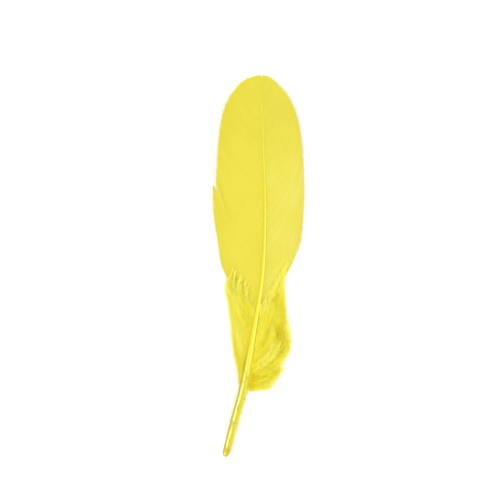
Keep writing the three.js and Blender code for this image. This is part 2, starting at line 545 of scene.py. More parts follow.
@dataclass(frozen=True)
class FeatherHorn:
    """Feather horn, dyed and grown smooth: glossy and a little clear, with painted light and shade in bands
    across it.

    The bare quill is hollow. Across it a painted highlight runs left of the middle, with painted shade along
    its left edge and a paler right rim painted as light passing through. Dried pith shows through it as
    amber patches, the darkest just short of its end. The rachis is filled.

    Attributes:
        name: The finish's name.
        roughness: How matt it is.
        pith_mm: Size of the patches of pith across the shaft.
        growth_line_mm: Distance between the fine lines along it, drawn coarser than they are.
        wander: How far the pith pushes the bands of colour aside.
        filled: Shares of the length where the quill turns into rachis, and how far it does.
        fading: The same for the bands, which fade into one colour on the thin end.
        thin_colour: That colour.
        pith_colour: Colour of the patches of pith.
        end_colour: Colour of the patch near the end.
        quill_painted_light_stops: Colours across the quill, from left to right: its dye, with painted shade
            on the left edge, a painted highlight left of the middle and a paler right rim painted as light
            passing through.
        rachis_painted_light_stops: Colours across the rachis: its dye, with painted shade on the left side
            and a painted highlight right of the middle.
        pith_stops: How much of the pith shows, by noise.
        end_stops: How much of the patch near the end shows, by share of the length.
    """

    name: str = "dyed_feather_horn"
    roughness: float = 0.35
    pith_mm: float = 1.6
    growth_line_mm: float = 0.35
    wander: float = 0.16
    filled: tuple[float, float, float] = (0.17, 0.3, 1.0)
    fading: tuple[float, float, float] = (0.5, 0.73, 0.85)
    thin_colour: str = "#dbcf30"
    pith_colour: str = "#b09e12"
    end_colour: str = "#c6ae06"
    quill_painted_light_stops: tuple[tuple[float, str], ...] = (
        (0.0, "#d4d070"),
        (0.08, "#b0a820"),
        (0.18, "#c0b628"),
        (0.25, "#eee684"),
        (0.39, "#f4eea4"),
        (0.46, "#dcd038"),
        (0.54, "#ccc204"),
        (0.76, "#d6cc04"),
        (0.88, "#e6de3a"),
        (1.0, "#e4dc64"),
    )
    rachis_painted_light_stops: tuple[tuple[float, str], ...] = (
        (0.0, "#d2c220"),
        (0.16, "#e2d424"),
        (0.4, "#dfd222"),
        (0.52, "#ebdf3c"),
        (0.66, "#f2ea64"),
        (0.8, "#eade36"),
        (1.0, "#e2d42c"),
    )
    pith_stops: tuple[tuple[float, str], ...] = ((0.5, "#000000"), (0.62, "#c8c8c8"))
    end_stops: tuple[tuple[float, str], ...] = (
        (0.0, "#202020"),
        (0.009, "#585858"),
        (0.016, "#f4f4f4"),
        (0.022, "#e0e0e0"),
        (0.031, "#000000"),
    )

    def material(self) -> Material:
        """Builds the finish.

        Returns:
            Its node material.
        """
        material, shader = new_material(
            self.name,
            {
                "Roughness": self.roughness,
                "IOR": KERATIN_IOR,
                "Specular IOR Level": 0.2,
                "Coat Weight": 0.3,
                "Coat Roughness": 0.14,
                "Subsurface Weight": 0.12,
                "Subsurface Radius": (1.0, 0.95, 0.4),
                "Subsurface Scale": 0.4 * MM,
            },
        )
        add = partial(add_node, material)
        place = add("TexCoord").outputs["Object"]
        colour = self.colours(add, place)
        growth = add("Mapping", {"Scale": (1.0, 0.04, 1.0)}, {"Vector": place})
        fine = {"Scale": 1.0 / (self.growth_line_mm * MM), "Detail": 2.0}
        lines = add("TexNoise", fine, {"Vector": growth.outputs[0]})
        bump = add("Bump", {"Strength": 0.35, "Distance": 0.05 * MM}, {"Height": lines.outputs["Fac"]})
        material.node_tree.links.new(colour, shader.inputs["Base Color"])
        material.node_tree.links.new(bump.outputs["Normal"], shader.inputs["Normal"])
        return material

    def colours(
        self, add: Callable[..., Node], place: NodeSocket
    ) -> NodeSocket:
        """The horn's colour: bands of painted highlight and shade that run along it over the dye, with
        patches of pith laid over them.

        Args:
            add: Adds a node to the material.
            place: Where the surface is, in object coordinates.

        Returns:
            The socket that gives the colour.
        """
        along, across = (
            add("Attribute", {"attribute_name": trait}).outputs["Fac"] for trait in ("along", "across")
        )
        filled, thin = (
            add("MapRange", {"From Min": low, "From Max": high, "To Max": most}, {"Value": along}).outputs[0]
            for low, high, most in (self.filled, self.fading)
        )
        stretched = add("Mapping", {"Scale": (1.0, 0.4, 1.0)}, {"Vector": place})
        cloudy = {"Scale": 1.0 / (self.pith_mm * MM), "Detail": 3.0, "Roughness": 0.6}
        pith = add("TexNoise", cloudy, {"Vector": stretched.outputs[0]}).outputs[0]
        centred = {"operation": "MULTIPLY_ADD", 1: self.wander, 2: -self.wander / 2.0}
        wander = add("Math", centred, {0: pith})
        band = add("Math", {"operation": "ADD"}, {0: across, 1: wander.outputs[0]}).outputs[0]
        # The bands across the shaft are painted light: highlight, shade and glow set by the side of the
        # shaft they are on.
        quill, rachis = (
            add("ValToRGB", {"stops": stops}, {"Fac": band}).outputs["Color"]
            for stops in (self.quill_painted_light_stops, self.rachis_painted_light_stops)
        )
        patches = add("ValToRGB", {"stops": self.pith_stops}, {"Fac": pith}).outputs["Color"]
        hollow = add("Math", {"operation": "SUBTRACT", 0: 1.0, "use_clamp": True}, {1: filled})
        showing = add("Math", {"operation": "MULTIPLY"}, {0: patches, 1: hollow.outputs[0]}).outputs[0]
        end = add("ValToRGB", {"stops": self.end_stops}, {"Fac": along}).outputs["Color"]
        colour = add("Mix", {"data_type": "RGBA"}, {0: filled, 6: quill, 7: rachis}).outputs[2]
        for share, code in ((thin, self.thin_colour), (showing, self.pith_colour), (end, self.end_colour)):
            colour = add("Mix", {"data_type": "RGBA", 7: linear(code)}, {0: share, 6: colour}).outputs[2]
        return colour


@dataclass
class HornShaft:
    """The bare quill and the grooved rachis above it, grown as one.

    Attributes:
        form: The feather's shape.
        sides: Corners of its cross-section.
        steps: Sections along it.
        crowding: Over 1, sections stand closer together at the quill's end.
        rounded: Length of the quill's rounded end.
        end_radius: Share of the full radius that is left at the very end.
        pit_rims: Widths of the two rims round the pit in the end, as shares of the radius.
        pit_depth: Depth of that small hole, where the feather was fed as it grew.
        groove_depth: Depth of the furrow on top, as a share of the width.
        groove_width: Its width, as a share of the width.
        groove_start: Station where it starts, and the length over which it deepens.
        groove_end: Station from which it fades, and the length over which it does.
    """

    form: FeatherForm
    sides: int = 40
    steps: int = 190
    crowding: float = 1.5
    rounded: float = 1.7
    end_radius: float = 0.3
    pit_rims: tuple[float, float] = (0.4, 0.25)
    pit_depth: float = 0.9
    groove_depth: float = 0.09
    groove_width: float = 0.34
    groove_start: tuple[float, float] = (-62.0, 10.0)
    groove_end: tuple[float, float] = (45.0, 30.0)

    def build(self) -> Object:
        """Makes the shaft: a drum cut into sections, which are then laid along its line.

        Returns:
            The shaft.
        """
        bm = ringed_drum(self.sides, self.steps + 1)
        end = [face for face in bm.faces if face.normal.z < -0.9]
        for rim in self.pit_rims:
            bmesh.ops.inset_region(bm, faces=end, thickness=rim)
        share = (self.pit_depth / (HALF_LENGTH + SHAFT_TOP)) ** (1.0 / self.crowding)
        bmesh.ops.translate(bm, verts=end[0].verts, vec=(0.0, 0.0, share))
        places = np.array([vert.co[:] for vert in bm.verts])
        placed, along = self.lay(places)
        for vert, place in zip(bm.verts, placed):
            vert.co = Vector(place) * MM
        mesh = bpy.data.meshes.new("shaft_horn")
        bm.to_mesh(mesh)
        bm.free()
        write_trait(mesh, "along", along)
        write_trait(mesh, "across", (places[:, 0] + 1.0) / 2.0)
        mesh.shade_smooth()
        return add_object("shaft_horn", mesh)

    def lay(self, places: Array) -> tuple[Array, Array]:
        """Lays the unit drum along the shaft's line.

        Args:
            places: The drum's vertices, one long and one in radius.

        Returns:
            The vertices in millimetres, and how far along the shaft each is, from 0 to 1.
        """
        along = np.clip(places[:, 2] + 0.5, 0.0, 1.0) ** self.crowding
        station = blend(-HALF_LENGTH, SHAFT_TOP, along)
        full = self.form.width.at(station) / 2.0
        short = np.maximum(0.0, 1.0 - (station + HALF_LENGTH) / self.rounded)
        radius = full * np.sqrt(1.0 - (1.0 - self.end_radius**2) * short**2)
        deepened, faded = (
            ease((station - start) / length) for start, length in (self.groove_start, self.groove_end)
        )
        furrow = np.exp(-((places[:, 0] / self.groove_width) ** 2)) * (places[:, 1] > 0)
        depth = 2.0 * self.groove_depth * (deepened * (1.0 - faded)) * furrow
        lean = np.arctan(self.form.centre.at(station + 0.5) - self.form.centre.at(station - 0.5))
        across = radius * places[:, 0]
        x = self.form.centre.at(station) + across * np.cos(lean)
        y = np.maximum(station - across * np.sin(lean), -HALF_LENGTH)
        z = self.form.rise(station) + full + radius * (places[:, 1] - depth)
        return np.stack([x, y, z], axis=-1), along

    def dress(self, piece: Object) -> None:
        """Gives the shaft its finish."""
        piece.data.materials.append(FeatherHorn().material())


@dataclass(frozen=True)
class Parting:
    """A place where the web has come apart between two barbs.

    Attributes:
        mouth: Station on the outer edge where it opens.
        start: Share of the barb, from its root, where it starts.
        opening: Its width at the edge.
        step: How much higher one lip stands than the other at the edge.
        spread: Share of the vane's barbs over which the others close up again.
    """

    mouth: float
    start: float
    opening: float
    step: float
    spread: float


@dataclass
class Vane:
    """The closed web on one side of the shaft: barbs that overlap like tiles.

    Attributes:
        form: The feather's shape.
        side: The side of the shaft.
        edge: The outer edge.
        lift: How far the outer edge curls up.
        dye: Its deep, usual and pale colours.
        partings: Where the web has come apart.
        head: Station where the last barb starts.
        barbs: How many barbs there are.
        rings: Cross-sections of a barb.
        sunk: How far in from the shaft's surface barbs start.
        bend_out: Where a barb's control point is, as a share of its reach.
        bend_up: The same, as a share of its rise.
        crowding: Over 1, roots stand closer together at the foot.
        overlap: How much wider a barb is than its share of the web.
        narrowest: Least half width of a barb, before its tip tapers.
        taper: Where a barb's taper would end, and how long it is, as shares.
        tilt: Angle, in radians, by which a barb leans over the next.
        ridge: Half a barb's height at root and tip.
        fraying: How unequal the barbs are, in the middle and at foot and tip.
        frayed: Shares of the vane that are frayed at foot and tip.
        bedding: Height of the barbs' middles above the web's underside.
        seat: Distance over which the web climbs to its roots.
        foot_seat: Share of that climb at the foot, and how soon it is whole.
        ripples: Number and height of the web's long and short waves.
        play: How much the web may wave where it lies on the surface.
        usual: Paleness of the web.
        painted_lit_side: Painted light: how much paler the right web is painted, as the lit side, and how
            much deeper the left one.
        tipped: How much deeper the tip is, the station it starts at and its length.
        painted_shade: Painted shade on the web beside the shaft: how much deeper it is, and over what share.
        rim: Painted highlight along the web's edge: how much paler it is, and its share of a barb.
        mottle: How unevenly the barbs took the dye.
    """

    form: FeatherForm
    side: Side
    edge: Outline
    lift: float
    dye: tuple[str, str, str]
    partings: tuple[Parting, ...]
    head: float = 83.3
    barbs: int = 280
    rings: int = 16
    sunk: float = 0.12
    bend_out: float = 0.75
    bend_up: float = 0.43
    crowding: float = 1.55
    overlap: float = 1.9
    narrowest: float = 0.05
    taper: tuple[float, float] = (1.02, 0.14)
    tilt: float = 0.08
    ridge: tuple[float, float] = (0.06, 0.025)
    fraying: tuple[float, float] = (0.005, 0.03)
    frayed: tuple[float, float] = (0.06, 0.05)
    bedding: float = 0.22
    seat: float = 2.5
    foot_seat: tuple[float, float] = (0.4, 0.1)
    ripples: tuple[tuple[float, float], ...] = ((7.0, 0.14), (38.0, 0.012))
    play: float = 0.35
    usual: float = 0.55
    painted_lit_side: float = 0.17
    tipped: tuple[float, float, float] = (0.34, 30.0, 45.0)
    painted_shade: tuple[float, float] = (0.12, 0.2)
    rim: tuple[float, float] = (0.25, 0.07)
    mottle: float = 0.03

    @property
    def name(self) -> str:
        """The CAD node that this stands for."""
        return f"vane_{self.side.name.lower()}"

    def spines(self, rng: Generator) -> Array:
        """The barbs' centre lines.

        Args:
            rng: Source of the small differences between barbs.

        Returns:
            Points as (barbs, rings, 3).
        """
        order = (np.arange(self.barbs) + 0.5) / self.barbs
        stations = blend(VANE_FOOT, self.head, order**self.crowding)
        roots = self.form.root(stations, self.side, self.sunk)
        tips = self.edge.at(order)
        loose = np.exp(-order / self.frayed[0]) + np.exp((order - 1.0) / self.frayed[1])
        change = rng.normal(0.0, 1.0, self.barbs) * blend(*self.fraying, np.minimum(loose, 1.0))
        tips = roots + (tips - roots) * (1.0 + change[:, None])
        bends = roots + np.array([self.bend_out, self.bend_up]) * (tips - roots)
        out = np.linspace(0.0, 1.0, self.rings)[None, :, None]
        plan = (
            (1 - out) ** 2 * roots[:, None] + 2 * out * (1 - out) * bends[:, None] + out**2 * tips[:, None]
        )
        plan, lip = self.parted(plan, order, tips[:, 1])
        height = self.form.underside(plan[..., 0], plan[..., 1], self.lift) + lip
        away = np.linalg.norm(plan - plan[:, :1], axis=-1)
        grown = blend(self.foot_seat[0], 1.0, ease(order / self.foot_seat[1]))
        seated = (0.5 * self.form.shaft_width(stations) * grown)[:, None] * np.exp(-away / self.seat)
        sway = sum(ripple(order * count, rng) * size for count, size in self.ripples)[:, None]
        height = height + self.bedding + seated + sway * out[..., 0] * np.minimum(1.0, height + self.play)
        return np.concatenate([plan, height[..., None]], axis=-1)

    def parted(self, plan: Array, order: Array, ends: Array) -> tuple[Array, Array]:
        """Opens the web where it has come apart.

        Args:
            plan: The barbs in plan, as (barbs, rings, 2).
            order: Each barb's place in the vane, from 0 at the foot to 1 at the tip.
            ends: Station of each barb's end.

        Returns:
            The barbs in plan, with the lips drawn apart, and how far each ring is raised.
        """
        running = unit(np.gradient(plan, axis=1))
        square = np.stack([running[..., 1], -running[..., 0]], axis=-1)
        square *= np.sign(np.sum(square * np.gradient(plan, axis=0), axis=-1, keepdims=True))
        out = np.linspace(0.0, 1.0, self.rings)[None]
        lip = np.zeros(plan.shape[:2])
        for parting in self.partings:
            away = order - order[np.argmin(np.abs(ends - parting.mouth))]
            push = np.where(away < 0.0, -0.5, 0.5) * np.exp(-np.abs(away) / parting.spread)
            opened = np.clip((out - parting.start) / (1.0 - parting.start), 0.0, 1.0)
            plan = plan + square * (parting.opening * push)[:, None, None] * opened[..., None]
            lip = lip + (parting.step * push)[:, None] * np.sqrt(opened)
        return plan, lip

    def paleness(self, spines: Array, rng: Generator) -> Array:
        """How pale the barbs are: deeper towards the tip, with painted light and shade: the right web
        painted paler as the lit side, painted shade beside the shaft and a painted highlight along the edge.

        Args:
            spines: The barbs' centre lines.
            rng: Source of the differences between barbs.

        Returns:
            Values for each barb and ring.
        """
        out = np.linspace(0.0, 1.0, self.rings)[None]
        order = np.arange(self.barbs) / self.barbs
        own = self.mottle * rng.normal(size=self.barbs) + self.mottle * ripple(order * 24.0, rng)
        deeper, start, length = self.tipped
        upper = ease((spines[..., 1] - start) / length)
        # Painted shade on the web beside the shaft.
        painted_shade_by_shaft = np.exp(-out / self.painted_shade[1])
        # Painted highlight along the web's edge.
        rim = ease((out - (1.0 - self.rim[1])) / self.rim[1])
        # The right web is painted paler as the lit side, and the left one deeper.
        usual = self.usual + self.painted_lit_side * self.side.value * (1.0 - 0.5 * upper)
        return usual + own[:, None] - deeper * upper - self.painted_shade[0] * painted_shade_by_shaft + self.rim[0] * rim

    def build(self) -> Object:
        """Makes the web.

        Returns:
            All its barbs as one object.
        """
        rng = np.random.default_rng(SEED + self.side.value)
        spines = self.spines(rng)
        along = unit(np.gradient(spines, axis=1))
        to_next = np.gradient(spines, axis=0)
        normal = unit(np.cross(along, to_next))
        normal *= np.sign(normal[..., 2:])
        across = unit(np.cross(along, normal))
        spacing = np.abs(np.sum(to_next * across, axis=-1))
        tilted = across * math.cos(self.tilt) + normal * math.sin(self.tilt)
        raised = unit(np.cross(tilted, along))
        raised *= np.sign(raised[..., 2:])
        out = np.linspace(0.0, 1.0, self.rings)[None]
        taper = np.sqrt(np.clip((self.taper[0] - out) / self.taper[1], 0.0, 1.0))
        half_width = np.maximum(spacing * self.overlap / 2.0, self.narrowest) * taper
        half_height = blend(*self.ridge, out**0.6) * np.ones_like(half_width)
        shape = StrandShape(rings=self.rings, sides=4, pointed=False)
        pale = self.paleness(spines, rng)
        web = lay_strands(shape, spines, tilted, raised, half_width, half_height, pale)
        return web.piece(f"{self.name}_web")

    def dress(self, piece: Object) -> None:
        """Gives the web its finish."""
        finish = BarbKeratin(
            f"dyed_web_{self.side.name.lower()}", *self.dye, roughness=0.6, shine=0.3, dye_patch_mm=14.0
        )
        piece.data.materials.append(finish.material())


@dataclass(frozen=True)
class DownLayer:
    """One layer of downy barbs beside the shaft, and the barbules on them.

    Attributes:
        kind: Where the layer lies.
        roots: Stations between which its barbs grow.
        barbs: How many barbs there are.
        reach: Least and greatest share of the skirt's spread where they end.
        heights: Least and greatest height of their tips.
        arch: Most that a barb rises above the line from its root to its tip.
        gathered: From 0, each barb on its own, to 1, locks that share one tip.
        barbules: How many barbules there are.
        rings: Cross-sections of a barbule, where 2 leave it straight.
        length: Length of the longest barbules.
        sweep: Mean angle between a barbule and its barb, in degrees.
        unruly: From 0, combed flat, to 1, tangled.
    """

    kind: Layer
    roots: tuple[float, float]
    barbs: int
    reach: tuple[float, float]
    heights: tuple[float, float]
    arch: float
    gathered: float
    barbules: int
    rings: int
    length: float
    sweep: float
    unruly: float


@dataclass
class DownSkirt:
    """The loose downy barbs at the foot of one vane.

    Attributes:
        form: The feather's shape.
        side: The side of the shaft.
        spread: How far from the shaft's middle the barbs reach, by station.
        climb: How far up the feather a barb's tip is from its root, by the root's station.
        crest: How far up the upper barbs reach at the shaft, and what each millimetre adds.
        corner: Where the lowest barb of the vane above ends, as x and y.
        lift: How far that vane's edge curls up.
        lean: Share of its reach by which a barb's tip leans back to the shaft.
        dye: Its deep, usual and pale colours.
        tones: Paleness of the barbs, by the root's station.
        painted_shade: Painted shade beside the shaft, by station, with painted light that brightens the
            crevice where it goes below 0.
        layers: The layers, from the lowest.
        crowding: Over 1, roots stand closer together at the foot.
        steps: Cross-sections of a barb's stem.
        stem: Half its thickness at root and tip.
        flare: What it adds at the shaft, and over what share of the stem.
        sunk: How far in from the shaft's surface barbs start.
        lock: How many barbs lie together, on average.
        outermost: Under 1, more barbs end near the outline.
        even_edge: Share of the greatest reach that evens out the lowest barbs.
        climbs: Range of the share of the climb that a barb takes.
        scatter: How unevenly the tips are placed.
        shared_tip: How far a gathered lock's tips are drawn together.
        flames: How far locks pass the crest, and how unevenly their barbs do.
        shortest: Least share that the crest leaves of a barb.
        bow: Over 1, barbs part from the shaft at once.
        late: Over 1, they climb more slowly at first.
        waves: Range of the number of waves in a barb.
        wave_size: Range of their size, and what tangled layers add.
        tucked: Height under the web, how early barbs dip to it, and over what length.
        clear: Height above the web, and what the shaft's width adds.
        clear_reach: Distance from the shaft over which that is lost.
        tone_spread: How unevenly locks, barbs and barbules took the dye.
        ribbon: Half a barbule's width at its root.
        flatness: Its height, as a share of its width.
        blunt: Under 1, it keeps its width for longer.
        sparse: Over 1, barbules crowd at the barb's root.
        rolls: How far, in radians, they leave the barb's plane, combed and tangled.
        angles: The same for their angle with the barb, in degrees.
        strays: The same for where they end.
        twist: How far, in radians, they are turned round their own length.
        hook: How strongly they turn to the barb's tip.
        grown: Their length, by share along the barb.
        uneven: Range of the share of it that each has.
        lowest: Least height above the surface.
        shade_width: Distance over which the painted shade beside the shaft fades.
        shade_start: Distance from the shaft's middle where that starts.
        pale_tips: How much paler a barb's outer half is, and a barbule's end.
    """

    form: FeatherForm
    side: Side
    spread: Profile
    climb: Profile
    crest: tuple[float, float]
    corner: tuple[float, float]
    lift: float
    lean: float
    dye: tuple[str, str, str]
    tones: Profile
    painted_shade: Profile
    layers: tuple[DownLayer, ...]
    crowding: float
    steps: int = 16
    stem: tuple[float, float] = (0.07, 0.02)
    flare: tuple[float, float] = (0.08, 0.05)
    sunk: float = 0.15
    lock: float = 4.5
    outermost: float = 0.7
    even_edge: float = 0.92
    climbs: tuple[float, float] = (0.72, 1.22)
    scatter: float = 1.0
    shared_tip: float = 0.6
    flames: tuple[float, float] = (1.8, 0.5)
    shortest: float = 0.2
    bow: float = 2.1
    late: float = 1.15
    waves: tuple[float, float] = (0.6, 1.8)
    wave_size: tuple[float, float, float] = (0.1, 0.5, 0.6)
    tucked: tuple[float, float, float] = (0.1, 2.0, 3.0)
    clear: tuple[float, float] = (0.5, 0.35)
    clear_reach: float = 2.5
    tone_spread: tuple[float, float, float] = (0.13, 0.05, 0.05)
    ribbon: float = 0.037
    flatness: float = 0.4
    blunt: float = 0.6
    sparse: float = 1.15
    rolls: tuple[float, float] = (0.15, 0.8)
    angles: tuple[float, float] = (5.0, 18.0)
    strays: tuple[float, float] = (0.08, 0.5)
    twist: float = 0.5
    hook: float = 0.5
    grown: tuple[tuple[float, float], ...] = ((0.0, 0.85), (0.2, 1.0), (0.65, 0.95), (1.0, 0.5))
    uneven: tuple[float, float] = (0.6, 1.1)
    lowest: float = 0.05
    shade_width: float = 1.6
    shade_start: float = 1.9
    pale_tips: tuple[float, float] = (0.3, 0.1)

    @property
    def name(self) -> str:
        """The CAD node that this stands for."""
        return f"down_{self.side.name.lower()}"

    def ends(
        self,
        layer: DownLayer,
        start: Array,
        lock: Array,
        chance: Array,
        rng: Generator,
    ) -> tuple[Array, Array]:
        """Where the barbs of one layer end.

        Args:
            layer: The layer.
            start: Station of each barb's root.
            lock: Number of the lock that each is in.
            chance: Numbers from 0 to 1 for each, which locks partly share.
            rng: Source of the differences between barbs.

        Returns:
            How far each reaches, as a share of the spread, and the station of its tip.
        """
        reach = blend(*layer.reach, chance[:, 0] ** self.outermost)
        if layer.kind is Layer.UNDER:
            reach = np.minimum(reach, self.even_edge * layer.reach[1])
        tip = start + self.climb.at(start) * blend(*self.climbs, chance[:, 1])
        tip += self.scatter * rng.normal(size=layer.barbs)
        for number in np.unique(lock):
            same = lock == number
            tip[same] = blend(tip[same], tip[same].mean(), layer.gathered * self.shared_tip)
        if layer.kind is Layer.OVER:
            away = reach * self.spread.at(tip) * (1.0 - self.lean)
            flame = self.flames[0] * np.abs(rng.normal(size=layer.barbs))[lock]
            flame += self.flames[1] * rng.normal(size=layer.barbs)
            highest = self.crest[0] + self.crest[1] * away**1.5 + flame
            kept = np.clip((highest - start) / np.maximum(tip - start, 0.5), self.shortest, 1.0)
            tip = blend(start, tip, kept)
            reach *= kept
        return reach, tip

    def spines(self, layer: DownLayer, rng: Generator) -> tuple[Array, Array]:
        """The barbs' centre lines in one layer.

        Args:
            layer: The layer.
            rng: Source of the differences between barbs.

        Returns:
            Points as (barbs, steps, 3), and how little dye each barb took.
        """
        count = layer.barbs
        order = (np.arange(count) + rng.uniform(0.1, 0.9, count)) / count
        start = blend(*layer.roots, order**self.crowding)
        lock = np.cumsum(rng.random(count) < 1.0 / self.lock)
        own, shared = rng.random((count, 4)), rng.random((count, 4))[lock]
        chance = blend(own, shared, layer.gathered)
        reach, tip = self.ends(layer, start, lock, chance, rng)
        out = np.linspace(0.0, 1.0, self.steps)[None]
        station = blend(start[:, None], tip[:, None], out**self.late)
        gap = reach[:, None] * self.spread.at(station) * (1.0 - (1.0 - out) ** self.bow)
        gap *= 1.0 - self.lean * out**3
        half = np.maximum(self.form.shaft_width(start) / 2.0 - self.sunk, 0.0)[:, None] * (1.0 - out) ** 2
        waves = rng.uniform(*self.waves, count)[:, None] * out + rng.random(count)[:, None]
        least, most, tangled = self.wave_size
        size = rng.uniform(least, most, count) + tangled * layer.unruly * rng.random(count)
        wave = np.sin(2 * np.pi * waves) * size[:, None] * out
        x = self.form.centre.at(station) + self.side.value * (gap + half + wave)
        base = self.form.rise(start) + self.form.shaft_width(start) * 0.5
        top = blend(*layer.heights, chance[:, 2])
        arch = 4.0 * out * (1.0 - out) * (layer.arch * chance[:, 3])[:, None]
        z = self.cleared(layer, x, station, blend(base[:, None], top[:, None], out) + arch)
        by_lock, by_barb, _ = self.tone_spread
        pale = self.tones.at(start) + by_lock * rng.normal(size=count)[lock]
        pale += by_barb * rng.normal(size=count)
        return np.stack([x, station, z], axis=-1), pale

    def cleared(self, layer: DownLayer, x: Array, station: Array, z: Array) -> Array:
        """Keeps barbs clear of the web: the lowest layer goes under it, and the others lie on it.

        Args:
            layer: The layer.
            x: The barbs' points, in X.
            station: The same in Y.
            z: The same in Z.

        Returns:
            Their new heights.
        """
        away = np.abs(x - self.form.centre.at(station))
        if layer.kind is Layer.UNDER:
            height, early, length = self.tucked
            rise = (self.corner[1] - VANE_FOOT) / abs(self.corner[0] - self.form.centre.at(self.corner[1]))
            return blend(z, height, ease((station - VANE_FOOT - away * rise + early) / length))
        beside = self.clear[1] * self.form.shaft_width(station) * np.exp(-away / self.clear_reach)
        return np.maximum(z, self.form.underside(x, station, self.lift) + (self.clear[0] + beside))

    def stems(self, spines: Array, pale: Array) -> Bundle:
        """The barbs' own thin stems.

        Args:
            spines: The barbs' centre lines.
            pale: How little dye each barb took.

        Returns:
            The stems.
        """
        along = unit(np.gradient(spines, axis=1))
        across = unit(np.cross(along, UP))
        up = np.cross(across, along)
        out = np.linspace(0.0, 1.0, self.steps)
        half = blend(*self.stem, out) + self.flare[0] * np.exp(-out / self.flare[1])
        half = half[None] * np.ones((len(spines), 1))
        shape = StrandShape(rings=self.steps, sides=4, pointed=True)
        return lay_strands(shape, spines, across, up, half, half, pale[:, None] * np.ones_like(half))

    def swept(
        self,
        layer: DownLayer,
        start: Array,
        along: Array,
        share: Array,
        rng: Generator,
    ) -> tuple[Array, Array]:
        """The barbules' centre lines, which sweep towards the barb's tip.

        Args:
            layer: The layer.
            start: Where each barbule grows.
            along: The barb's direction there.
            share: How far along the barb that is, from 0 to 1.
            rng: Source of their differences.

        Returns:
            Points as (barbules, rings, 3), and the direction in which each sets out.
        """
        total = layer.barbules
        across = unit(np.cross(along, UP))
        up = np.cross(across, along)
        side = rng.choice([-1.0, 1.0], total)[:, None]
        roll = rng.normal(0.0, blend(*self.rolls, layer.unruly), total)[:, None]
        angle = np.radians(layer.sweep + rng.normal(0.0, blend(*self.angles, layer.unruly), total))[:, None]
        outwards = across * side * np.cos(roll) + up * np.sin(roll)
        first = along * np.cos(angle) + outwards * np.sin(angle)
        stray = rng.normal(0.0, blend(*self.strays, layer.unruly), (total, 3))
        last = unit(first + self.hook * along + stray)
        grown = np.interp(share, *np.array(self.grown).T)
        length = (layer.length * grown * rng.uniform(*self.uneven, total))[:, None]
        lines = [start]
        for step in range(layer.rings - 1):
            turned = unit(blend(first, last, (step + 0.5) / (layer.rings - 1)))
            lines.append(lines[-1] + turned * length / (layer.rings - 1))
        line = np.stack(lines, axis=1)
        line[..., 2] = np.maximum(line[..., 2], self.lowest)
        return line, first

    def barbules(
        self, layer: DownLayer, spines: Array, pale: Array, rng: Generator
    ) -> Bundle:
        """The barbules, which make the barbs plumes: flat ribbons on both sides of each.

        Args:
            layer: The layer.
            spines: The barbs' centre lines.
            pale: How little dye each barb took.
            rng: Source of their differences.

        Returns:
            The barbules.
        """
        total = layer.barbules
        lengths = np.linalg.norm(np.diff(spines, axis=1), axis=-1).sum(axis=1)
        barb = rng.choice(len(spines), total, p=lengths / lengths.sum())
        share = rng.random(total) ** self.sparse
        place = share * (self.steps - 1)
        ring = np.minimum(place.astype(int), self.steps - 2)
        start = blend(spines[barb, ring], spines[barb, ring + 1], (place - ring)[:, None])
        along = unit(spines[barb, ring + 1] - spines[barb, ring])
        line, first = self.swept(layer, start, along, share, rng)
        twist = rng.normal(0.0, self.twist, total)[:, None]
        level = unit(np.cross(first, UP))
        above = np.cross(level, first)
        broad = level * np.cos(twist) + above * np.sin(twist)
        tall = above * np.cos(twist) - level * np.sin(twist)
        ways = [np.broadcast_to(-way[:, None], line.shape) for way in (broad, tall)]
        taper = np.linspace(1.0, 0.0, layer.rings)[None] ** self.blunt * np.ones((total, 1))
        outer = self.pale_tips[0] * ease((share - 0.5) / 0.5)
        from_shaft = np.abs(start[:, 0] - self.form.centre.at(start[:, 1])) - self.shade_start
        # Painted shade beside the shaft, and painted light where the profile goes below 0.
        shadow = self.painted_shade.at(start[:, 1]) * np.exp(-from_shaft / self.shade_width)
        tone = pale[barb] + outer - shadow + rng.normal(0.0, self.tone_spread[2], total)
        shade = tone[:, None] + self.pale_tips[1] * (1.0 - taper)
        shape = StrandShape(rings=layer.rings, sides=3, pointed=True)
        half = self.ribbon * taper
        return lay_strands(shape, line, *ways, half, half * self.flatness, shade)

    def build(self) -> list[Object]:
        """Makes the layers.

        Returns:
            One object for each.
        """
        pieces = []
        for number, layer in enumerate(self.layers):
            rng = np.random.default_rng(SEED + 10 * number + 3 * self.side.value)
            spines, pale = self.spines(layer, rng)
            bundle = Bundle.joined([self.stems(spines, pale), self.barbules(layer, spines, pale, rng)])
            pieces.append(bundle.piece(f"{self.name}_{layer.kind.value}"))
        return pieces

    def dress(self, pieces: list[Object]) -> None:
        """Gives the down its finish.

        Args:
            pieces: The layers' objects.
        """
        finish = BarbKeratin(
            f"dyed_down_{self.side.name.lower()}", *self.dye, roughness=0.9, shine=0.1, dye_patch_mm=9.0
        )
        material = finish.material()
        for piece in pieces:
            piece.data.materials.append(material)


@dataclass(frozen=True)
class Lamp:
    """A soft lamp that faces the feather.

    Attributes:
        name: Its name.
        place: Where it is, in metres.
        size: Its longer and its shorter side, in metres.
        power: Its power, in watts.
    """

    name: str
    place: tuple[float, float, float]
    size: tuple[float, float]
    power: float

    def build(self) -> None:
        """Adds the lamp to the scene."""
        data = bpy.data.lights.new(self.name, "AREA")
        data.shape = "RECTANGLE"
        data.size, data.size_y = self.size
        data.energy = self.power
        lamp = add_object(self.name, data)
        lamp.location = self.place
        lamp.rotation_euler = (-Vector(self.place)).to_track_quat("-Z", "Y").to_euler()


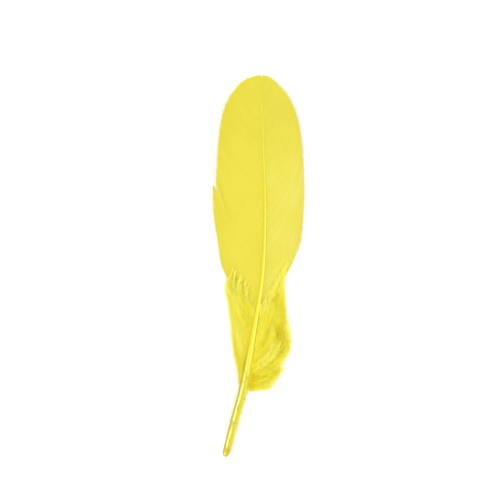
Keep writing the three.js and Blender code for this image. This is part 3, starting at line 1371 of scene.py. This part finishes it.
@dataclass
class Studio:
    """The pale floor, the lights and the camera that looks straight down.

    Attributes:
        mm_per_pixel: Scale of the picture on the floor.
        picture: The picture's width and height in pixels.
        feather_pixel: Where the middle of the feather's box is in the picture.
        lens: Focal length.
        sensor: Size of the sensor's longer side.
        lamps: The lamps: a high key, a wide fill and a strip whose gleam runs down the quill.
        surroundings: Strength of the white light from all round.
        floor_half: Half the floor's width, in metres.
        grain_per_metre: How many specks of the card's grain there are to the metre.
    """

    mm_per_pixel: float = 0.448
    picture: tuple[int, int] = (483, 500)
    feather_pixel: tuple[float, float] = (258.4, 266.3)
    lens: float = 85.0
    sensor: float = 36.0
    lamps: tuple[Lamp, ...] = (
        Lamp("key", (-0.3, 0.22, 0.85), (0.8, 0.8), 3.6),
        Lamp("fill", (0.6, -0.2, 0.8), (0.9, 0.9), 3.1),
        Lamp("strip", (-0.5, -0.2, 0.55), (0.3, 0.08), 0.6),
    )
    surroundings: float = 0.7
    floor_half: float = 4.0
    grain_per_metre: float = 900.0

    def floor(self) -> Object:
        """A wide sheet of matt white card.

        Returns:
            The floor.
        """
        bm = bmesh.new()
        bmesh.ops.create_grid(bm, x_segments=1, y_segments=1, size=self.floor_half)
        mesh = bpy.data.meshes.new("floor")
        bm.to_mesh(mesh)
        bm.free()
        material, shader = new_material("white_card", {"Roughness": 0.9, "Specular IOR Level": 0.1})
        add = partial(add_node, material)
        place = add("TexCoord").outputs["Object"]
        grain = add("TexNoise", {"Scale": self.grain_per_metre, "Detail": 2.0}, {"Vector": place})
        whites = {"stops": [(0.3, "#fbfbfa"), (0.7, "#ffffff")]}
        colour = add("ValToRGB", whites, {"Fac": grain.outputs["Fac"]})
        material.node_tree.links.new(colour.outputs["Color"], shader.inputs["Base Color"])
        mesh.materials.append(material)
        return add_object("floor", mesh)

    def camera(self) -> None:
        """A camera straight above, which frames the feather as the photograph does."""
        data = bpy.data.cameras.new("camera")
        data.lens = self.lens
        data.sensor_width = self.sensor
        camera = add_object("camera", data)
        wide, high = self.picture
        height = max(wide, high) * self.mm_per_pixel * self.lens / self.sensor
        x = (wide / 2.0 - self.feather_pixel[0]) * self.mm_per_pixel
        y = (self.feather_pixel[1] - high / 2.0) * self.mm_per_pixel
        camera.location = (x * MM, y * MM, height * MM)
        bpy.context.scene.camera = camera

    def build(self) -> None:
        """Sets up the floor, lamps, surroundings and camera."""
        self.floor()
        for lamp in self.lamps:
            lamp.build()
        world = bpy.data.worlds.new("studio")
        world.use_nodes = True
        background = world.node_tree.nodes["Background"]
        background.inputs["Color"].default_value = (1.0, 1.0, 1.0, 1.0)
        background.inputs["Strength"].default_value = self.surroundings
        bpy.context.scene.world = world
        bpy.context.scene.view_settings.view_transform = "Standard"
        self.camera()


LEFT_LIFT = 2.2
RIGHT_LIFT = 3.2
LEFT_SPLIT = Parting(mouth=36.5, start=0.55, opening=1.7, step=0.8, spread=0.03)
LEFT_WEB_DYE = ("#d4c832", "#dbcf3c", "#dfd65a")
RIGHT_WEB_DYE = ("#d1c532", "#d8cc3f", "#ded65e")
LEFT_DOWN_DYE = ("#ecdd28", "#f7ef50", "#fef984")
RIGHT_DOWN_DYE = ("#e6d41a", "#fdf44c", "#fffb76")
LEFT_VANE_EDGE = Outline(
    (
        (-16.5, 0.6),
        (-18.2, 11.5),
        (-HALF_WIDTH, 28.0),
        (-18.9, 43.0),
        (-17.3, 61.0),
        (-14.6, 72.2),
        (-9.2, 80.2),
        (-4.0, 83.7),
        (0.9, HALF_LENGTH),
    )
)
RIGHT_VANE_EDGE = Outline(
    (
        (18.6, 12.3),
        (20.0, 23.0),
        (HALF_WIDTH, 36.0),
        (19.4, 55.0),
        (16.3, 69.5),
        (11.6, 78.0),
        (5.4, 83.6),
        (1.8, HALF_LENGTH),
    )
)

# The left skirt is a narrow sheet of steep barbs, and the right one flares out and is fluffier
LEFT_SPREAD = Profile(((-56.0, 1.2), (-50.0, 3.5), (-41.7, 6.6), (-20.3, 13.6), (-8.8, 17.6), (8.0, 18.0)))
LEFT_CLIMB = Profile(((-56.0, 25.0), (-40.0, 26.0), (-25.0, 22.0), (-16.0, 18.0), (-6.0, 9.0)))
LEFT_LAYERS = (
    DownLayer(
        Layer.UNDER, roots=(DOWN_FOOT, -6.0), barbs=120, reach=(0.05, 1.12), heights=(0.3, 1.0),
        arch=0.5, gathered=0.3, barbules=38000, rings=2, length=2.5, sweep=28.0, unruly=0.1,
    ),
    DownLayer(
        Layer.OVER, roots=(DOWN_FOOT, -20.0), barbs=66, reach=(0.08, 1.1), heights=(0.9, 2.0),
        arch=0.8, gathered=0.75, barbules=17000, rings=3, length=2.3, sweep=25.0, unruly=0.12,
    ),
    DownLayer(
        Layer.STRAY, roots=(DOWN_FOOT, -28.0), barbs=44, reach=(0.85, 1.08), heights=(0.5, 1.8),
        arch=0.8, gathered=0.2, barbules=4200, rings=4, length=3.2, sweep=34.0, unruly=0.5,
    ),
)
RIGHT_SPREAD = Profile(
    (
        *((-56.0, 9.5), (-52.0, 12.6), (-45.0, 15.2), (-35.0, 16.2)),
        *((-24.0, 13.6), (-15.0, 11.0), (-6.0, 9.6), (8.0, 11.0)),
    )
)
RIGHT_CLIMB = Profile(
    ((-56.0, 0.5), (-52.0, 4.0), (-46.0, 12.0), (-36.0, 20.0), (-22.0, 20.0), (-6.0, 12.0))
)
RIGHT_LAYERS = (
    DownLayer(
        Layer.UNDER, roots=(DOWN_FOOT, -6.0), barbs=150, reach=(0.06, 1.15), heights=(0.3, 1.2),
        arch=0.5, gathered=0.3, barbules=43000, rings=2, length=2.8, sweep=34.0, unruly=0.25,
    ),
    DownLayer(
        Layer.OVER, roots=(DOWN_FOOT + 1.0, -20.0), barbs=66, reach=(0.12, 1.04), heights=(0.9, 2.4),
        arch=1.0, gathered=0.7, barbules=17000, rings=3, length=2.6, sweep=30.0, unruly=0.25,
    ),
    DownLayer(
        Layer.STRAY, roots=(DOWN_FOOT, -25.0), barbs=50, reach=(0.78, 1.08), heights=(0.5, 2.0),
        arch=1.0, gathered=0.2, barbules=5200, rings=4, length=3.6, sweep=40.0, unruly=0.65,
    ),
)


def register(pieces: list[Object], node: str) -> None:
    """Says what new pieces ride on and what they replace.

    Args:
        pieces: The new pieces.
        node: The CAD node that they stand for.
    """
    for piece in pieces:
        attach(piece, BODY)
        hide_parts(node)
        LOG.info("%s: %d faces, stands for %s", piece.name, len(piece.data.polygons), node)


def main() -> None:
    """Builds the feather piece by piece, then the studio."""
    logging.basicConfig(level=logging.INFO, format="%(name)s: %(message)s")
    form = FeatherForm()
    shaft = HornShaft(form)
    horn = shaft.build()
    shaft.dress(horn)
    register([horn], "shaft")
    for vane in (
        Vane(form, Side.LEFT, LEFT_VANE_EDGE, LEFT_LIFT, LEFT_WEB_DYE, (LEFT_SPLIT,)),
        Vane(form, Side.RIGHT, RIGHT_VANE_EDGE, RIGHT_LIFT, RIGHT_WEB_DYE, ()),
    ):
        web = vane.build()
        vane.dress(web)
        register([web], vane.name)
    for skirt in (
        DownSkirt(
            form,
            Side.LEFT,
            LEFT_SPREAD,
            LEFT_CLIMB,
            crest=(-20.0, 0.41),
            corner=LEFT_VANE_EDGE.corners[0],
            lift=LEFT_LIFT,
            lean=0.2,
            dye=LEFT_DOWN_DYE,
            tones=Profile(((-56.0, 0.44), (-45.0, 0.5), (-30.0, 0.5), (-5.0, 0.54))),
            # Painted shade beside the shaft.
            painted_shade=Profile(((-56.0, 0.4), (-44.0, 0.35), (-36.0, 0.15), (10.0, 0.0))),
            layers=LEFT_LAYERS,
            crowding=1.0,
        ),
        DownSkirt(
            form,
            Side.RIGHT,
            RIGHT_SPREAD,
            RIGHT_CLIMB,
            crest=(-16.0, -0.06),
            corner=RIGHT_VANE_EDGE.corners[0],
            lift=RIGHT_LIFT,
            lean=0.0,
            dye=RIGHT_DOWN_DYE,
            tones=Profile(((-56.0, 0.54), (-38.0, 0.36), (-25.0, 0.42), (-15.0, 0.7), (-5.0, 0.9))),
            # Painted shadow in the wedge beside the quill's foot, and painted light beside the shaft higher
            # up.
            painted_shade=Profile(((-56.0, 0.75), (-50.0, 0.7), (-44.0, 0.1), (-36.0, -0.2), (10.0, -0.2))),
            layers=RIGHT_LAYERS,
            crowding=1.35,
        ),
    ):
        layers = skirt.build()
        skirt.dress(layers)
        register(layers, skirt.name)
    Studio().build()


if __name__ == "__main__":
    main()
